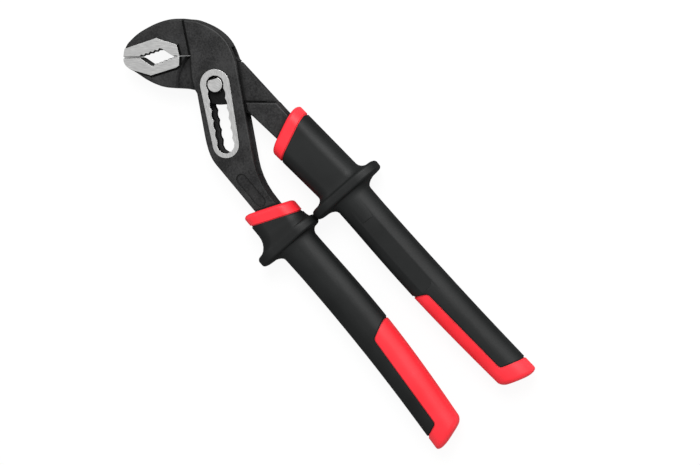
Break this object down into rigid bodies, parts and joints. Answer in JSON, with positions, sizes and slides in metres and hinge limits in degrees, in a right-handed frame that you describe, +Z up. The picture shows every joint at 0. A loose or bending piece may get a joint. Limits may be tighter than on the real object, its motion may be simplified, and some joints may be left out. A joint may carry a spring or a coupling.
{
  "type": "water pump pliers",
  "caption": "Adjustable box-joint pliers with slanted toothed jaws, a notched sliding pivot, and plastic grips with hand guards.",
  "frame": {"origin": "bottom centre of the bounding box, in the plane that the hand guards' flat edges rest on, with the tool lying flat", "axes": "+X from the jaws to the handle ends, +Y from the outer half's handle to the inner half's handle, +Z up along the joint bolt's axis"},
  "size_m": [0.2488, 0.0756, 0.02],
  "materials": {
    "steel": "matt black forged steel, ground bright on the jaws' pads and the band round the slot",
    "bolt_steel": "turned",
    "spring_steel": "drawn wire",
    "red_plastic": "moulded, semi-matt",
    "black_plastic": "moulded soft plastic, matt"
  },
  "bodies": {
    "ring": {"bolt_spring_ring": "spring_steel"},
    "bolt": {"joint_bolt": "bolt_steel"},
    "outer_half": {"outer_half": "steel", "outer_grip_core": "red_plastic", "outer_grip_cover": "black_plastic"},
    "inner_half": {"inner_half": "steel", "inner_grip_core": "red_plastic", "inner_grip_cover": "black_plastic"}
  },
  "joints": [
    {"name": "jaw_setting", "type": "slide", "parent": "bolt", "child": "outer_half", "axis": [-0.8616, 0.5075, 0], "range_m": [0, 0.0294]},
    {"name": "setting_turn", "type": "hinge", "parent": "ring", "child": "bolt", "pos_m": [-0.08021, 0.00266, 0.01], "axis": [0, 0, -1], "range_deg": [0, 11.2]},
    {"name": "handle_swing", "type": "hinge", "parent": "ring", "child": "inner_half", "pos_m": [-0.08021, 0.00266, 0.01], "axis": [0, 0, 1], "range_deg": [0, 55]}
  ],
  "couplings": [
    {"joint": "setting_turn", "follows": "jaw_setting", "rad_per_m": 6.5301}
  ]
}
